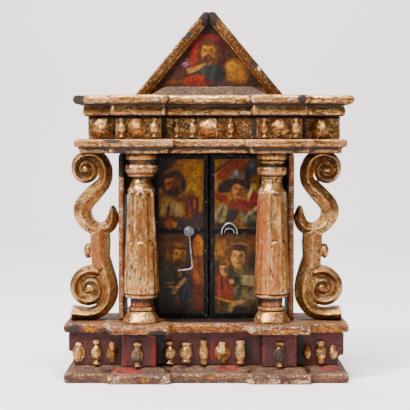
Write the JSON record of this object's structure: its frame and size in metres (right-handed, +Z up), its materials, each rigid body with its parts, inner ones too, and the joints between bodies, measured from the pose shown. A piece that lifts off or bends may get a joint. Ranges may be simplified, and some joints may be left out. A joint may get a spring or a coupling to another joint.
{
  "type": "devotional table oratory",
  "caption": "Carved, gilded and painted wooden shrine: stepped base, two hinged painted doors between columns, side scrolls, entablature and triangular pediment.",
  "frame": {"origin": "on the underside of the plinth, in the plane of the closed doors' fronts, under the line where the two doors meet", "axes": "+Z up, +Y towards the back, +X to the viewer's right when facing the doors"},
  "size_m": [0.408, 0.1499, 0.5203],
  "materials": {
    "gilt_wood": "worn water gilding over red bole, rubbed on edges and dark in hollows",
    "dusty_wood": "worn gilding and paint under grey dust, with pale gesso chips",
    "oxblood_wood": "dark oxblood paint, rubbed, with brighter red stretches",
    "painted_board": "old oil painting on a wooden board",
    "painted_door": "oil paintings within black painted frames",
    "case_wood": "bare old softwood, darkened",
    "iron": "dark hand-forged iron wire, rubbed bright in places"
  },
  "bodies": {
    "case": {"architrave": "gilt_wood", "base_bead_01": "gilt_wood", "base_bead_02": "gilt_wood", "base_bead_03": "gilt_wood", "base_bead_04": "gilt_wood", "base_bead_05": "gilt_wood", "base_bead_06": "gilt_wood", "base_bead_07": "gilt_wood", "base_bead_08": "gilt_wood", "base_bead_09": "gilt_wood", "base_bead_10": "gilt_wood", "base_bead_11": "gilt_wood", "base_bead_12": "gilt_wood", "base_bead_13": "gilt_wood", "base_dado": "oxblood_wood", "base_plinth": "dusty_wood", "base_top_slab": "dusty_wood", "cabinet_back": "case_wood", "cabinet_left_cleat": "case_wood", "cabinet_left_wall": "case_wood", "cabinet_right_cleat": "case_wood", "cabinet_right_wall": "case_wood", "cornice": "gilt_wood", "frieze": "gilt_wood", "frieze_bead_01": "gilt_wood", "frieze_bead_02": "gilt_wood", "frieze_bead_03": "gilt_wood", "frieze_bead_04": "gilt_wood", "frieze_bead_05": "gilt_wood", "frieze_bead_06": "gilt_wood", "frieze_bead_07": "gilt_wood", "frieze_bead_08": "gilt_wood", "frieze_bead_09": "gilt_wood", "frieze_bead_10": "gilt_wood", "frieze_bead_11": "gilt_wood", "frieze_bead_12": "gilt_wood", "left_column": "gilt_wood", "left_lower_hinge_case_leaf": "iron", "left_raking_moulding": "gilt_wood", "left_scroll_bracket": "gilt_wood", "left_side_board": "gilt_wood", "left_upper_hinge_case_leaf": "iron", "pediment_board": "painted_board", "pediment_ledge": "dusty_wood", "right_column": "gilt_wood", "right_lower_hinge_case_leaf": "iron", "right_raking_moulding": "gilt_wood", "right_scroll_bracket": "gilt_wood", "right_side_board": "gilt_wood", "right_upper_hinge_case_leaf": "iron"},
    "left_door": {"latch_eye_post": "iron", "left_door": "painted_door", "left_lower_hinge_door_leaf": "iron", "left_upper_hinge_door_leaf": "iron"},
    "right_door": {"latch_catch": "iron", "right_door": "painted_door", "right_lower_hinge_door_leaf": "iron", "right_upper_hinge_door_leaf": "iron"},
    "latch_hook": {"latch_hook": "iron"}
  },
  "joints": [
    {"name": "left_door_hinge", "type": "hinge", "parent": "case", "child": "left_door", "pos_m": [-0.07975, -0.003, 0.202], "axis": [0, 0, -1], "range_deg": [0, 56]},
    {"name": "right_door_hinge", "type": "hinge", "parent": "case", "child": "right_door", "pos_m": [0.07975, -0.003, 0.202], "axis": [0, 0, 1], "range_deg": [0, 55]},
    {"name": "latch_swing", "type": "hinge", "parent": "left_door", "child": "latch_hook", "pos_m": [-0.0288, -0.0105, 0.209], "axis": [0, -1, 0], "range_deg": [-8, 90]}
  ]
}
